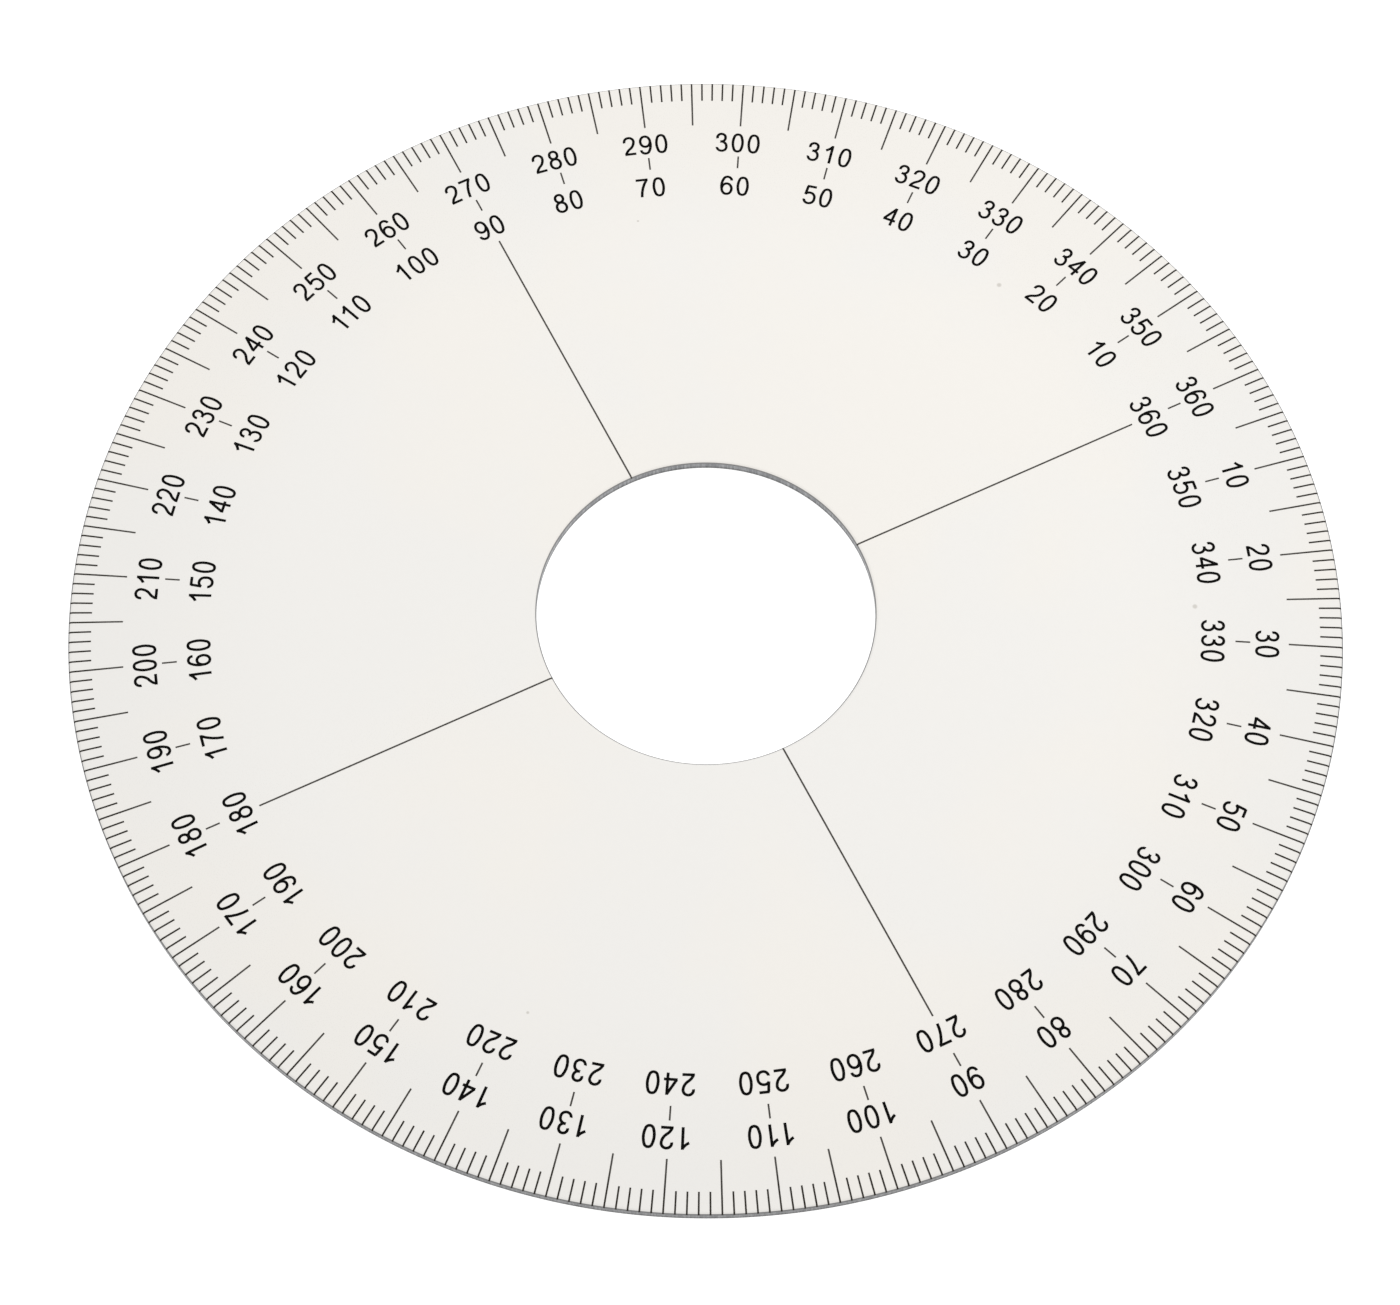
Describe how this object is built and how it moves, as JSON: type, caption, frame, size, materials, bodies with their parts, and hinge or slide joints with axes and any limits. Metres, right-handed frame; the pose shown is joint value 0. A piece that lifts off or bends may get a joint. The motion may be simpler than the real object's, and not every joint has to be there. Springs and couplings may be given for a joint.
{
  "type": "protractor",
  "caption": "Flat full-circle protractor: thin round sheet with a large centre hole, an edge scale in degrees and two opposed rings of numerals.",
  "frame": {"origin": "centre of the hole at the underside of the sheet", "axes": "+Z out of the printed face; +X towards the mark for 360 degrees, so the outer numbers run clockwise seen from +Z"},
  "size_m": [0.1906, 0.1906, 0.0016],
  "materials": {
    "sheet_metal": "satin cut edge, lightly brushed underside",
    "white_coat": "satin off-white coat",
    "black_ink": "matte printing ink"
  },
  "bodies": {
    "root": {"sheet": "sheet_metal", "face_coat": "white_coat", "degree_ticks": "black_ink", "five_degree_ticks": "black_ink", "ten_degree_ticks": "black_ink", "outer_numerals": "black_ink", "inner_numerals": "black_ink", "link_dashes": "black_ink", "cross_lines": "black_ink"}
  },
  "joints": []
}
